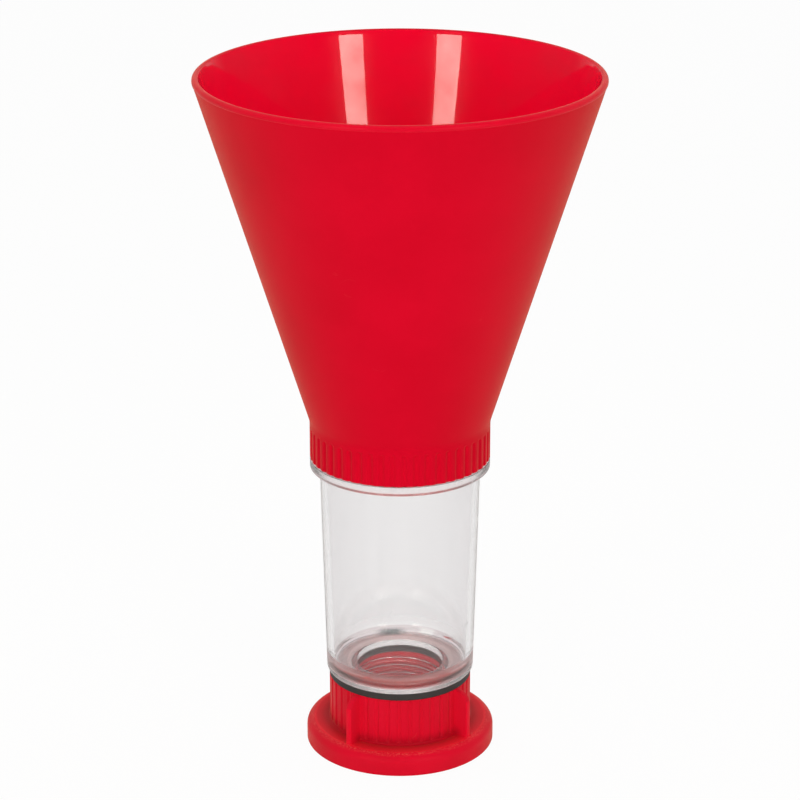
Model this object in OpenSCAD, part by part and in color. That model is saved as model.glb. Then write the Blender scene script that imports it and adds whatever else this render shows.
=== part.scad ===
// Filling funnel with a clear sight cup on a screw-on filler-neck foot.
// Millimetres, +Z up. The origin is the centre of the foot's base, and every
// piece is a moulding or a ring turned about the Z axis.
// Widths run outward from the cup's lower neck, and heights upward from the
// floor, so each piece follows the piece that it screws into or sits on.

/* [Funnel cone] */
// Diameter across the cone's rim
mouth_d = 151; // [110:1:200]
// Height of the cone, from the top of the collar to the rim
cone_h = 132.9; // [90:0.1:180]
// Wall of the cone
cone_wall = 2.5; // [1.6:0.1:2.8]
// Height of the smooth band, below the rim's rounding
rim_band_h = 0.3; // [0.2:0.1:5]
// How far the smooth band stands out from the cone
rim_band_step = 0.15; // [0.05:0.05:0.5]
// Rounding of the rim's outer edge
rim_r = 1.4; // [0.8:0.1:2]

/* [Screw collar] */
// Wall of the collar, over its grooves
collar_wall = 3; // [2:0.1:5]
// Plain band between the grooves and the cone
collar_band_h = 1.8; // [1:0.1:4]
// Blend between the collar and the cone
collar_blend_r = 8; // [2:0.5:20]
// Number of grip grooves round the collar
collar_grooves = 50; // [30:2:72]
// Radius of the cutter that makes a collar groove
collar_groove_r = 1.4; // [0.8:0.1:1.8]
// Depth of a collar groove
collar_groove_depth = 0.5; // [0.2:0.05:0.8]
// Bevel round the collar's lower end
collar_bevel = 0.3; // [0.1:0.05:0.6]
// How far the shoulder reaches in from the collar's bore
shoulder_w = 4.7; // [3.5:0.1:6]
// Thickness of the shoulder's inner edge
shoulder_t = 2.4; // [1.6:0.1:4]
// Slope of the shoulder's upper face, in degrees
shoulder_slope = 25; // [10:1:45]

/* [Sight cup] */
// Height of the tube, from the gasket to the stop flange
tube_h = 84; // [50:0.5:140]
// How far the tube's lower end stands out past the foot's barrel
tube_proud = 0.9; // [0:0.1:3]
// How much the tube's radius grows from its lower to its upper end
tube_taper = 2.25; // [0.5:0.05:4]
// Wall of the tube
tube_wall = 2.4; // [1.6:0.1:3.2]
// Thickness of the cup's floor
floor_t = 2.8; // [2:0.1:4]
// Fillet inside, where the wall meets the floor
floor_fillet_r = 4.2; // [2:0.1:7]
// Rounding of the tube's lower edge
tube_edge_r = 0.7; // [0.2:0.1:1.2]
// How far the stop flange stands out from the upper neck
flange_w = 3.3; // [1.5:0.1:4]
// Thickness of the stop flange
flange_t = 3.2; // [2:0.1:5]
// How far the upper neck's plain zone stands out from the tube
upper_neck_step = 0.35; // [0.1:0.05:1]
// Length of the upper neck, above the stop flange
upper_neck_h = 10.7; // [8:0.1:16]
// Diameter of the plain zone that holds the lower neck's thread
lower_neck_d = 37.7; // [30:0.1:50]
// Length of the lower neck, below the cup's floor
lower_neck_h = 14; // [10:0.1:20]
// Wall of the lower neck, round the drain
lower_neck_wall = 2.35; // [1.8:0.05:3]

/* [Foot] */
// Thickness of the disc
disc_h = 8.6; // [7:0.1:11]
// How far the disc stands out past the barrel
disc_rim_w = 9; // [7:0.1:30]
// Rounding of the disc's upper edge
disc_edge_r = 3.5; // [1:0.1:4]
// Rounding of the disc's lower edge
disc_base_r = 0.3; // [0.2:0.1:2]
// Wall of the barrel's skin, the web, the disc and the socket tube
foot_wall = 2.4; // [1.8:0.1:3]
// Least width of the open ring between the barrel's skin and the socket tube
moat_w = 3.4; // [2:0.05:8]
// Fillet where the barrel stands on the disc
barrel_root_r = 0.8; // [0.5:0.1:3]
// Number of grip grooves round the barrel
barrel_grooves = 40; // [24:4:60]
// Radius of the cutter that makes a barrel groove
barrel_groove_r = 1; // [0.6:0.1:1.4]
// Depth of a barrel groove
barrel_groove_depth = 0.45; // [0.2:0.05:0.7]
// Number of webs in the hollow underside of the disc
disc_webs = 12; // [4:1:24]

/* [Grip fins] */
// Number of fins
fin_count = 4; // [2:1:8]
// How far a fin stands out from the barrel
fin_reach = 5.6; // [3:0.1:7]
// Thickness of a fin
fin_t = 2.4; // [1.6:0.1:4]
// Rounding of a fin's top corner
fin_corner_r = 5.4; // [1:0.1:5.4]
// Step from the barrel's top down to a fin's top
fin_drop = 0.3; // [0:0.1:3]

/* [Filler neck socket] */
// Diameter of the plain zone that holds the socket's thread
socket_d = 48; // [40:0.1:60]
// Depth of the socket, up to the groove that holds the seal
socket_depth = 10.1; // [8:0.1:20]
// Chamfer at the socket's mouth
socket_chamfer = 0.8; // [0.2:0.1:1.5]
// How far the seal's groove is undercut, on the radius
seal_undercut = 1; // [0.5:0.1:1.5]
// Bore of the neck seal, and of the web above it
outlet_d = 31; // [20:0.1:34]

/* [Gasket and seals] */
// Thickness of the gasket between the cup and the foot
gasket_t = 2.8; // [1.5:0.1:4]
// Thickness of the neck seal
neck_seal_t = 2; // [1.4:0.1:3]
// Thickness of the seal between the cup's rim and the collar's shoulder
upper_seal_t = 2; // [1:0.1:3]

/* [Fits] */
// Radial gap between the plain zones of a screw joint
thread_gap = 0.3; // [0.2:0.05:0.5]
// Radial gap round a flat seal or gasket
seal_gap = 0.2; // [0.1:0.05:0.4]
// Gap between the collar's end and the stop flange
collar_gap = 0.3; // [0.1:0.05:1]
// Free depth left under the lower neck when the cup is screwed home
neck_end_gap = 1.8; // [0.5:0.1:3]
// Chamfer at the ends and mouths of the screw joints
lead_in = 0.6; // [0.2:0.1:1]

/* [Hidden] */

$fn = 96;
slack = 1; // overshoot of a cutter past the face that it cuts

// levels, from the floor up
web_z = socket_depth + neck_seal_t; // underside of the foot's web
neck_z = web_z + foot_wall + neck_end_gap; // lower end of the lower neck
cup_z = neck_z + lower_neck_h; // underside of the cup's floor
floor_z = cup_z + floor_t; // top of the cup's floor
flange_z = cup_z + tube_h; // underside of the stop flange
collar_z = flange_z + flange_t + collar_gap; // lower end of the collar
rim_z = flange_z + flange_t + upper_neck_h; // top of the upper neck
shoulder_z = rim_z + upper_seal_t; // underside of the shoulder
cone_z = shoulder_z + shoulder_t; // where the collar turns into the cone
top_z = cone_z + cone_h;

// radii of the foot, from the axis out
neck_r = lower_neck_d / 2;
drain_r = neck_r - lower_neck_wall;
lower_bore_r = neck_r + thread_gap; // socket for the cup's lower neck
tube_bore_r = lower_bore_r + foot_wall; // outside of that socket's tube
undercut_r = socket_d / 2 + seal_undercut;
moat_r = max(tube_bore_r + moat_w, undercut_r); // inside of the barrel's skin
barrel_r = moat_r + foot_wall;
disc_r = barrel_r + disc_rim_w;
foot_h = cup_z - gasket_t;

// radii of the cup and the collar
low_r = barrel_r + tube_proud; // outside of the tube at its lower end
high_r = low_r + tube_taper; // outside of the tube under the flange
upper_neck_r = high_r + upper_neck_step;
flange_r = upper_neck_r + flange_w;
upper_bore_r = upper_neck_r + thread_gap;
collar_r = upper_bore_r + collar_wall;
throat_r = upper_bore_r - shoulder_w;

// the cone leans so that its smooth band runs tangent into the rim's rounding
rim_centre_r = mouth_d / 2 - rim_r;
rim_centre_z = top_z - rim_r;
rim_dx = rim_centre_r - collar_r - rim_band_step;
rim_dz = rim_centre_z - cone_z;
lean = atan(rim_dx / rim_dz) + asin(rim_r / norm([rim_dx, rim_dz]));
skin = cone_wall / cos(lean); // the cone's wall measured level
function cone_r(z) = collar_r + tan(lean) * (z - cone_z);

// where the shoulder's slope runs into the cone's inner face
slope = tan(shoulder_slope);
slope_run = (collar_r - skin - throat_r) / (1 - slope * tan(lean));
slope_top_z = cone_z + slope * slope_run;

// A ring of rectangular section between two levels and two radii
module ring(z0, z1, r_in, r_out) {
    rotate_extrude()
        translate([r_in, z0])
            square([r_out - r_in, z1 - z0]);
}

// Section that chamfers the mouth of a bore; dir is 1 where the bore runs up
module mouth_chamfer(r, z, size, dir = 1) {
    reach = size + slack;
    polygon([[r - slack, z - dir * slack], [r + reach, z - dir * slack], [r - slack, z + dir * reach]]);
}

// Cutters for grip grooves round a barrel, with round ends beyond z0 and z1
module grooves(count, r, depth, cutter_r, z0, z1) {
    for (i = [0 : count - 1])
        rotate(i * 360 / count)
            translate([r + cutter_r - depth, 0, z0]) {
                cylinder(r = cutter_r, h = z1 - z0, $fn = 32);
                for (end_z = [0, z1 - z0])
                    translate([0, 0, end_z])
                        sphere(r = cutter_r, $fn = 32);
            }
}

// Outer section of the foot: disc, root fillet and barrel
module foot_outline() {
    edge = disc_r - disc_edge_r;
    base = disc_r - disc_base_r;
    square([base, disc_h - disc_edge_r]);
    translate([0, disc_base_r])
        square([disc_r, disc_h - disc_edge_r - disc_base_r]);
    translate([base, disc_base_r])
        circle(disc_base_r);
    square([edge, disc_h]);
    translate([edge, disc_h - disc_edge_r])
        circle(disc_edge_r);
    square([barrel_r, foot_h]);
    difference() {
        square([barrel_r + barrel_root_r, disc_h + barrel_root_r]);
        translate([barrel_r + barrel_root_r, disc_h + barrel_root_r])
            circle(barrel_root_r);
    }
}

// Section of everything that is open inside the foot
module foot_hollows() {
    // filler neck socket, its mouth, and the groove that holds the seal
    translate([0, -slack])
        square([socket_d / 2, socket_depth + 2 * slack]);
    mouth_chamfer(socket_d / 2, 0, socket_chamfer);
    translate([0, socket_depth])
        square([undercut_r, neck_seal_t]);
    // bore through the web, and the socket for the cup's neck
    square([outlet_d / 2, foot_h]);
    translate([0, web_z + foot_wall])
        square([lower_bore_r, foot_h]);
    mouth_chamfer(lower_bore_r, foot_h, lead_in, -1);
    // moat between the socket's tube and the barrel's skin, closed by the gasket
    translate([tube_bore_r, web_z + foot_wall])
        square([moat_r - tube_bore_r, foot_h]);
}

// One grip fin, standing along +X on the disc
module fin() {
    base = disc_h - foot_wall / 2;
    rise = foot_h - fin_drop - base;
    run = foot_wall / 2 + fin_reach; // from the middle of the barrel's skin
    translate([barrel_r - foot_wall / 2, fin_t / 2, base])
        rotate([90, 0, 0])
            linear_extrude(fin_t) {
                square([run, rise - fin_corner_r]);
                square([run - fin_corner_r, rise]);
                translate([run - fin_corner_r, rise - fin_corner_r])
                    circle(fin_corner_r);
            }
}

// The hollow under the disc, left solid at its webs
module disc_hollow() {
    difference() {
        ring(-slack, disc_h - foot_wall, barrel_r + barrel_root_r, disc_r - foot_wall);
        for (i = [0 : disc_webs - 1])
            rotate((i + 0.5) * 360 / disc_webs)
                translate([0, -foot_wall / 2, -2 * slack])
                    cube([disc_r, foot_wall, disc_h + slack]);
    }
}

// Screw-on adaptor that the funnel stands on
module foot() {
    color("crimson") {
        difference() {
            rotate_extrude()
                difference() {
                    foot_outline();
                    foot_hollows();
                }
            grooves(barrel_grooves, barrel_r, barrel_groove_depth, barrel_groove_r,
                    disc_h + barrel_root_r + barrel_groove_r, foot_h + slack);
            disc_hollow();
        }
        for (i = [0 : fin_count - 1])
            rotate(i * 360 / fin_count)
                fin();
    }
}

// Flat ring that the filler neck's rim presses on
module neck_seal() {
    color("dimgray")
        ring(socket_depth, web_z, outlet_d / 2, undercut_r - seal_gap);
}

// Flat ring between the cup's floor and the foot
module lower_gasket() {
    color([0.2, 0.2, 0.2])
        ring(foot_h, cup_z, neck_r + seal_gap, barrel_r);
}

// Outer section of the cup: lower neck, tube, stop flange and upper neck
module cup_outline() {
    edge = low_r - tube_edge_r;
    polygon([[0, neck_z], [neck_r - lead_in, neck_z], [neck_r, neck_z + lead_in], [neck_r, cup_z],
             [edge, cup_z], [low_r, cup_z + tube_edge_r], [high_r, flange_z],
             [flange_r, flange_z], [flange_r, flange_z + flange_t], [upper_neck_r, flange_z + flange_t],
             [upper_neck_r, rim_z - lead_in], [upper_neck_r - lead_in, rim_z], [0, rim_z]]);
    translate([edge, cup_z + tube_edge_r])
        circle(tube_edge_r);
}

// Section of the space inside the cup, with its filleted corner
module cup_inside() {
    corner_r = low_r - tube_wall - floor_fillet_r;
    corner_z = floor_z + floor_fillet_r;
    translate([0, floor_z])
        square([corner_r, floor_fillet_r]);
    translate([corner_r, corner_z])
        circle(floor_fillet_r);
    polygon([[0, corner_z], [low_r - tube_wall, corner_z], [high_r - tube_wall, flange_z],
             [high_r - tube_wall, rim_z + slack], [0, rim_z + slack]]);
    translate([0, neck_z - slack])
        square([drain_r, floor_z]);
}

// Clear cup that shows the liquid, with a screw neck at each end
module sight_cup() {
    color([0.9, 0.92, 0.93, 0.35])
        rotate_extrude()
            difference() {
                cup_outline();
                cup_inside();
            }
}

// Flat ring between the cup's rim and the collar's shoulder
module upper_seal() {
    color("dimgray")
        ring(rim_z, shoulder_z, throat_r, upper_bore_r - seal_gap);
}

// Outer section of the cone, its smooth rim band and its collar
module cone_outline() {
    tangent_z = rim_centre_z - rim_r * sin(lean);
    band_z = tangent_z - rim_band_h;
    polygon([[0, collar_z], [collar_r - collar_bevel, collar_z], [collar_r, collar_z + collar_bevel],
             [collar_r, cone_z], [cone_r(band_z), band_z], [0, band_z]]);
    polygon([[0, band_z], [cone_r(band_z) + rim_band_step, band_z],
             [cone_r(tangent_z) + rim_band_step, tangent_z], [rim_centre_r, top_z], [0, top_z]]);
    translate([rim_centre_r, rim_centre_z])
        circle(rim_r);
    // blend between the collar and the cone
    run = collar_blend_r * tan(lean / 2);
    end_z = cone_z + run * cos(lean);
    difference() {
        polygon([[collar_r - slack, cone_z - run], [collar_r, cone_z - run],
                 [cone_r(end_z), end_z], [collar_r - slack, end_z]]);
        translate([collar_r + collar_blend_r, cone_z - run])
            circle(collar_blend_r, $fn = 360);
    }
}

// Section of the space inside the cone, its throat and its screw collar
module cone_inside() {
    foot_r = cone_r(slope_top_z) - skin;
    polygon([[0, cone_z], [throat_r, cone_z], [foot_r, slope_top_z],
             [cone_r(top_z + slack) - skin, top_z + slack], [0, top_z + slack]]);
    translate([0, shoulder_z - slack])
        square([throat_r, shoulder_t + 2 * slack]);
    translate([0, collar_z - slack])
        square([upper_bore_r, shoulder_z - collar_z + slack]);
    mouth_chamfer(upper_bore_r, collar_z, lead_in);
}

// Moulded cone with its ribbed screw collar
module funnel_cone() {
    color("crimson")
        difference() {
            rotate_extrude($fn = 180)
                difference() {
                    cone_outline();
                    cone_inside();
                }
            grooves(collar_grooves, collar_r, collar_groove_depth, collar_groove_r,
                    collar_z - slack, cone_z - collar_band_h - collar_groove_r);
        }
}

foot();
neck_seal();
lower_gasket();
sight_cup();
upper_seal();
funnel_cone();
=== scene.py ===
import math

import bmesh
import bpy
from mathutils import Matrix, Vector


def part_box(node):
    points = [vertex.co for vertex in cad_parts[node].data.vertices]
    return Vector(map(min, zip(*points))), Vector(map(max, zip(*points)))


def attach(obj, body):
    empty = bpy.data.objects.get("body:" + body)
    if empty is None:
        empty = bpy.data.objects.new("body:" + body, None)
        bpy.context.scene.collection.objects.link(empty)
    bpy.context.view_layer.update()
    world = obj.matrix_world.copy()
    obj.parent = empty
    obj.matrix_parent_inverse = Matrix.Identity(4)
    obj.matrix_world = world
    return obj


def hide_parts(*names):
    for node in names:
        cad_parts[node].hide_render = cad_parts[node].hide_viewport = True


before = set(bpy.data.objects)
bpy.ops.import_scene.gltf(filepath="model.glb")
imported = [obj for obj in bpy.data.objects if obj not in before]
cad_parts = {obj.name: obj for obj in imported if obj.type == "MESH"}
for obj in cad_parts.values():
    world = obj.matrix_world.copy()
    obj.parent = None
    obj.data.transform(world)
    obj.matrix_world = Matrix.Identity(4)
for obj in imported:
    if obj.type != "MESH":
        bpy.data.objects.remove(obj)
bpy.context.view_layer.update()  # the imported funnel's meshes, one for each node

mm = 0.001  # outlines are drawn in millimetres and scaled when the mesh is made


def nodeBox(node):
    # lowest level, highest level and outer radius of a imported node, in millimetres
    low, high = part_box(node)
    return round(low.z / mm, 2), round(high.z / mm, 2), round(high.x / mm, 2)


footLow, footTop, discRadius = nodeBox("foot")
gasketLow, gasketTop, barrelRadius = nodeBox("lower_gasket")
neckLow, cupTop, flangeRadius = nodeBox("sight_cup")
upperSealLow, upperSealTop, upperSealRadius = nodeBox("upper_seal")
neckSealLow, neckSealTop, neckSealRadius = nodeBox("neck_seal")
collarLow, coneTop, rimRadius = nodeBox("funnel_cone")
print("frame loaded, funnel height in mm:", coneTop)


# outlines: lists of (radius, height, finish), turned about the Z axis

def arcPath(centre, radius, startDegrees, endDegrees, steps, finish):
    path = []
    for step in range(steps + 1):
        angle = math.radians(startDegrees + (endDegrees - startDegrees) * step / steps)
        path.append((centre[0] + radius * math.cos(angle), centre[1] + radius * math.sin(angle), finish))
    return path


def linePath(start, end, steps, finish):
    # points between start and end, with neither of them
    path = []
    for step in range(1, steps):
        share = step / steps
        path.append((start[0] + (end[0] - start[0]) * share, start[1] + (end[1] - start[1]) * share, finish))
    return path


filletStyle = {
    "turnPerStep": 12,  # degrees
    "fewestSteps": 3,
    "holdShare": 0.15,  # a point beside each end of an arc keeps the flat next to it flat
    "holdMost": 0.2,
}


def cornerPath(corners):
    # corners are (radius, height, fillet, finish), and the first and last are plain ends
    path = []
    for index, (radius, height, fillet, finish) in enumerate(corners):
        corner = Vector((radius, height))
        if not fillet:
            path.append((radius, height, finish))
            continue
        back = (Vector(corners[index - 1][:2]) - corner).normalized()
        ahead = (Vector(corners[index + 1][:2]) - corner).normalized()
        half = back.angle(ahead) / 2
        reach = fillet / math.tan(half)
        centre = corner + (back + ahead).normalized() * (fillet / math.sin(half))
        first, last = corner + back * reach, corner + ahead * reach
        hold = min(fillet * filletStyle["holdShare"], filletStyle["holdMost"])
        startAngle = math.atan2(first.y - centre.y, first.x - centre.x)
        turn = math.atan2(last.y - centre.y, last.x - centre.x) - startAngle
        turn = (turn + math.pi) % (2 * math.pi) - math.pi
        steps = math.ceil(abs(math.degrees(turn)) / filletStyle["turnPerStep"])
        steps = max(filletStyle["fewestSteps"], steps)
        endAngle = startAngle + turn
        beside = first + back * hold
        path.append((beside.x, beside.y, corners[index - 1][3]))
        path += arcPath(centre, fillet, math.degrees(startAngle), math.degrees(endAngle), steps, finish)
        beside = last + ahead * hold
        path.append((beside.x, beside.y, finish))
    return path


# columns: the angles that an outline is turned through

def evenColumns(count):
    return [2 * math.pi * index / count for index in range(count)]


def groovedColumns(count, radius, offsets):
    # offsets are distances from a groove's middle, to both sides, and the land between has a column too
    columns = []
    for index in range(count):
        middle = 2 * math.pi * index / count
        for offset in sorted([-value for value in offsets if value] + list(offsets)):
            columns.append((middle + offset / radius) % (2 * math.pi))
        columns.append(middle + math.pi / count)
    return sorted(columns)


def polar(angle, radius, height):
    return Vector((radius * math.cos(angle), radius * math.sin(angle), height))


def smooth(share):
    share = min(max(share, 0), 1)
    return share * share * (3 - 2 * share)


def grooveDepth(groove, angle, height):
    # how deep a round-ended grip groove is at this place on its barrel
    spacing = 2 * math.pi / groove["count"]
    away = (angle + spacing / 2) % spacing - spacing / 2
    across = groove["radius"] * math.sin(away)
    along = max(groove["low"] - height, height - groove["high"], 0)
    left = groove["cutter"] ** 2 - across ** 2 - along ** 2
    return max(math.sqrt(max(left, 0)) - groove["cutter"] + groove["depth"], 0)


def turnPath(mesh, path, columns, place=None):
    allRings = []
    for index, (radius, height, finish) in enumerate(path):
        ring = []
        for column in columns:
            spot = place(index, radius, height, column) if place else polar(column, radius, height)
            ring.append(mesh.verts.new(spot * mm))
        allRings.append(ring)
    for index in range(len(path) - 1):
        for column in range(len(columns)):
            beside = (column + 1) % len(columns)
            face = mesh.faces.new((allRings[index][column], allRings[index][beside],
                                   allRings[index + 1][beside], allRings[index + 1][column]))
            face.material_index = path[index][2]


flankShares = (0, 0.25, 0.5, 0.75, 1)  # rows on each flank of a thread's ridge


def ridgeRows(thread):
    # places along one pitch, from the middle of a root, with the share of the ridge's height there
    crest, root = thread["crestWidth"] / 2, thread["rootWidth"] / 2
    rows = [(-thread["pitch"] / 2, 0)]
    for share in flankShares:
        rows.append((-root + (root - crest) * share, smooth(share)))
    for share in reversed(flankShares):
        rows.append((root - (root - crest) * share, smooth(share)))
    return rows


def turnThread(mesh, thread, columns, finish):
    # rows follow the helix, and pile up on the plain rings where the thread starts and ends
    pitch, low, high = thread["pitch"], thread["low"], thread["high"]
    rows = ridgeRows(thread)
    firstTurn = math.floor((low - pitch / 2 - thread["phase"]) / pitch) - 1
    turns = math.ceil((high - low) / pitch) + 4  # with spare turns past both ends
    strips = []
    for column in columns:
        strip = []
        for turn in range(firstTurn, firstTurn + turns):
            for along, share in rows:
                height = thread["phase"] + turn * pitch + along + pitch * column / (2 * math.pi)
                height = min(max(height, low), high)
                fade = smooth((height - low) / thread["fade"]) * smooth((high - height) / thread["fade"])
                radius = thread["root"] + thread["height"] * share * fade
                strip.append(mesh.verts.new(polar(column, radius, height) * mm))
        strips.append(strip)
    count = len(strips[0])
    for column in range(len(columns)):
        shift = len(rows) if column == len(columns) - 1 else 0  # a full turn climbs one pitch
        here, beside = strips[column], strips[(column + 1) % len(columns)]
        for row in range(count - 1 - shift):
            face = mesh.faces.new((here[row], beside[row + shift], beside[row + shift + 1], here[row + 1]))
            face.material_index = finish


meshStyle = {
    "mergeWithin": 0.0008 * mm,
    "sharpFrom": 38,  # degrees between faces
}


def finishMesh(name, mesh, node, body, materials):
    bmesh.ops.remove_doubles(mesh, verts=mesh.verts, dist=meshStyle["mergeWithin"])
    bmesh.ops.recalc_face_normals(mesh, faces=mesh.faces)
    data = bpy.data.meshes.new(name)
    mesh.to_mesh(data)
    mesh.free()
    for material in materials:
        data.materials.append(material)
    data.shade_smooth()
    data.set_sharp_from_angle(angle=math.radians(meshStyle["sharpFrom"]))
    piece = bpy.data.objects.new(name, data)
    bpy.context.scene.collection.objects.link(piece)
    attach(piece, body)
    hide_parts(node)
    print("made", name, "with", len(data.polygons), "faces")


# helpers that build node trees

def paint(red, green, blue):
    # a screen colour from 0 to 255, made linear
    shares = [value / 255 for value in (red, green, blue)]
    linear = [share / 12.92 if share <= 0.04045 else ((share + 0.055) / 1.055) ** 2.4 for share in shares]
    return linear + [1]


def feed(tree, node, values):
    # each value is a plain one, or the socket of another node
    for key, value in values.items():
        if isinstance(value, bpy.types.NodeSocket):
            tree.links.new(value, node.inputs[key])
        else:
            node.inputs[key].default_value = value


def addNode(tree, kind, place, values=None, **settings):
    node = tree.nodes.new(kind)
    node.location = place
    for key, value in settings.items():
        setattr(node, key, value)
    feed(tree, node, values or {})
    return node


def maths(tree, operation, place, *values):
    return addNode(tree, "ShaderNodeMath", place, dict(enumerate(values)), operation=operation).outputs[0]


def mixColours(tree, place, share, first, second):
    node = addNode(tree, "ShaderNodeMix", place, {0: share, 6: first, 7: second}, data_type="RGBA")
    return node.outputs[2]


def bumpNormal(tree, height, distance):
    return addNode(tree, "ShaderNodeBump", (250, -350), {"Height": height, "Distance": distance}).outputs[0]


def newGroup(name, inputs, outputs):
    # inputs are named numbers and vectors with their usual values, and outputs are numbers
    tree = bpy.data.node_groups.new(name, "ShaderNodeTree")
    for label, value in inputs.items():
        kind = "NodeSocketVector" if isinstance(value, tuple) else "NodeSocketFloat"
        tree.interface.new_socket(name=label, in_out="INPUT", socket_type=kind).default_value = value
    for label in outputs:
        tree.interface.new_socket(name=label, in_out="OUTPUT", socket_type="NodeSocketFloat")
    start = addNode(tree, "NodeGroupInput", (-900, 0))
    end = addNode(tree, "NodeGroupOutput", (700, 0))
    return tree, start.outputs, end


def placeGroup(tree, group, place, coordinates, values):
    return addNode(tree, "ShaderNodeGroup", place, {"Coordinates": coordinates, **values}, node_tree=group)


def newMaterial(name):
    material = bpy.data.materials.new(name)
    material.use_nodes = True
    tree = material.node_tree
    tree.nodes.clear()
    shader = addNode(tree, "ShaderNodeBsdfPrincipled", (500, 0))
    addNode(tree, "ShaderNodeOutputMaterial", (800, 0), {0: shader.outputs[0]})
    return material, tree, shader


def mixIntoOutput(tree, share, first, second):
    # the output shows the first shader, and the second one where the share is 1
    mix = addNode(tree, "ShaderNodeMixShader", (800, 200), {
        0: share, 1: first.outputs[0], 2: second.outputs[0]})
    output = next(node for node in tree.nodes if node.type in ("OUTPUT_MATERIAL", "OUTPUT_WORLD"))
    output.location.x = 1000
    feed(tree, output, {0: mix.outputs[0]})


def objectPlaces(tree):
    return addNode(tree, "ShaderNodeTexCoord", (-900, 0)).outputs["Object"]


# effects that several finishes use

def buildGrain():
    # the fine texture of a sparked mould: a height, and a mask of rare light specks
    tree, given, end = newGroup(
        "mouldGrain",
        {"Coordinates": (0, 0, 0), "Grain Size": 0.0004, "Speck Spacing": 0.012, "Speck Size": 0.02},
        ["Height", "Specks"])
    grainScale = maths(tree, "DIVIDE", (-650, 200), 1, given["Grain Size"])
    grain = addNode(tree, "ShaderNodeTexNoise", (-400, 200), {
        "Vector": given["Coordinates"], "Scale": grainScale, "Detail": 3, "Roughness": 0.6})
    speckScale = maths(tree, "DIVIDE", (-650, -200), 1, given["Speck Spacing"])
    cells = addNode(tree, "ShaderNodeTexVoronoi", (-400, -200), {
        "Vector": given["Coordinates"], "Scale": speckScale})
    near = maths(tree, "LESS_THAN", (-150, -100), cells.outputs["Distance"], given["Speck Size"])
    parts = addNode(tree, "ShaderNodeSeparateColor", (-150, -300), {0: cells.outputs["Color"]})
    chosen = maths(tree, "GREATER_THAN", (50, -300), parts.outputs[0], 0.7)  # three cells in ten
    specks = maths(tree, "MULTIPLY", (250, -200), near, chosen)
    specks = maths(tree, "MULTIPLY", (450, -200), specks, parts.outputs[1])
    feed(tree, end, {"Height": grain.outputs[0], "Specks": specks})
    return tree


def buildMottle():
    # slow cloudy variation, from 0 to 1
    tree, given, end = newGroup(
        "mouldMottle",
        {"Coordinates": (0, 0, 0), "Cloud Size": 0.03, "Stretch": (1, 1, 1), "Detail": 3},
        ["Share"])
    stretched = addNode(tree, "ShaderNodeVectorMath", (-600, 0), {
        0: given["Coordinates"], 1: given["Stretch"]}, operation="MULTIPLY")
    scale = maths(tree, "DIVIDE", (-600, -200), 1, given["Cloud Size"])
    cloud = addNode(tree, "ShaderNodeTexNoise", (-350, 0), {
        "Vector": stretched.outputs[0], "Scale": scale, "Detail": given["Detail"], "Roughness": 0.5})
    spread = addNode(tree, "ShaderNodeMapRange", (0, 0), {
        "Value": cloud.outputs[0], "From Min": 0.3, "From Max": 0.7})
    feed(tree, end, {"Share": spread.outputs[0]})
    return tree


def buildScuffs():
    # thin wandering scratches that gather in patches, as a mask
    tree, given, end = newGroup(
        "handlingScuffs",
        {"Coordinates": (0, 0, 0), "Scratch Spacing": 0.01, "Scratch Width": 0.01, "Patch Size": 0.03,
         "Cover": 0.5},
        ["Mask"])
    lineScale = maths(tree, "DIVIDE", (-650, 150), 1, given["Scratch Spacing"])
    lines = addNode(tree, "ShaderNodeTexNoise", (-400, 150), {
        "Vector": given["Coordinates"], "Scale": lineScale, "Detail": 1, "Distortion": 0.6})
    away = maths(tree, "SUBTRACT", (-200, 150), lines.outputs[0], 0.5)  # they run where the noise is 0.5
    away = maths(tree, "ABSOLUTE", (0, 150), away)
    thin = maths(tree, "LESS_THAN", (200, 150), away, given["Scratch Width"])
    patchScale = maths(tree, "DIVIDE", (-650, -150), 1, given["Patch Size"])
    patches = addNode(tree, "ShaderNodeTexNoise", (-400, -150), {
        "Vector": given["Coordinates"], "Scale": patchScale, "Detail": 5, "Roughness": 0.7})
    bare = maths(tree, "SUBTRACT", (-200, -250), 1, given["Cover"])
    inside = maths(tree, "GREATER_THAN", (0, -150), patches.outputs[0], bare)
    feed(tree, end, {"Mask": maths(tree, "MULTIPLY", (450, 0), thin, inside)})
    return tree


def buildBand():
    # a mask that is strongest on a band round the Z axis and fades out beside it
    tree, given, end = newGroup(
        "bandMask",
        {"Coordinates": (0, 0, 0), "Radius": 0.03, "Height": 0.01, "Half Height": 0, "Solid": 0.001,
         "Reach": 0.003, "Shade": 1},
        ["Share"])
    parts = addNode(tree, "ShaderNodeSeparateXYZ", (-700, 0), {0: given["Coordinates"]})
    squares = maths(tree, "MULTIPLY", (-550, 150), parts.outputs[0], parts.outputs[0])
    squares = maths(tree, "MULTIPLY_ADD", (-400, 150), parts.outputs[1], parts.outputs[1], squares)
    radius = maths(tree, "SQRT", (-250, 150), squares)
    across = maths(tree, "SUBTRACT", (-100, 150), radius, given["Radius"])
    level = maths(tree, "SUBTRACT", (-550, -150), parts.outputs[2], given["Height"])
    level = maths(tree, "ABSOLUTE", (-400, -150), level)
    level = maths(tree, "SUBTRACT", (-250, -150), level, given["Half Height"])
    along = maths(tree, "MAXIMUM", (-100, -150), level, 0)
    squares = maths(tree, "MULTIPLY", (50, 0), across, across)
    squares = maths(tree, "MULTIPLY_ADD", (200, 0), along, along, squares)
    fade = addNode(tree, "ShaderNodeMapRange", (500, 0), {
        "Value": maths(tree, "SQRT", (350, 0), squares), "From Min": given["Solid"],
        "From Max": given["Reach"], "To Min": given["Shade"], "To Max": 0},
        interpolation_type="SMOOTHSTEP")
    feed(tree, end, {"Share": fade.outputs[0]})
    return tree


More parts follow.
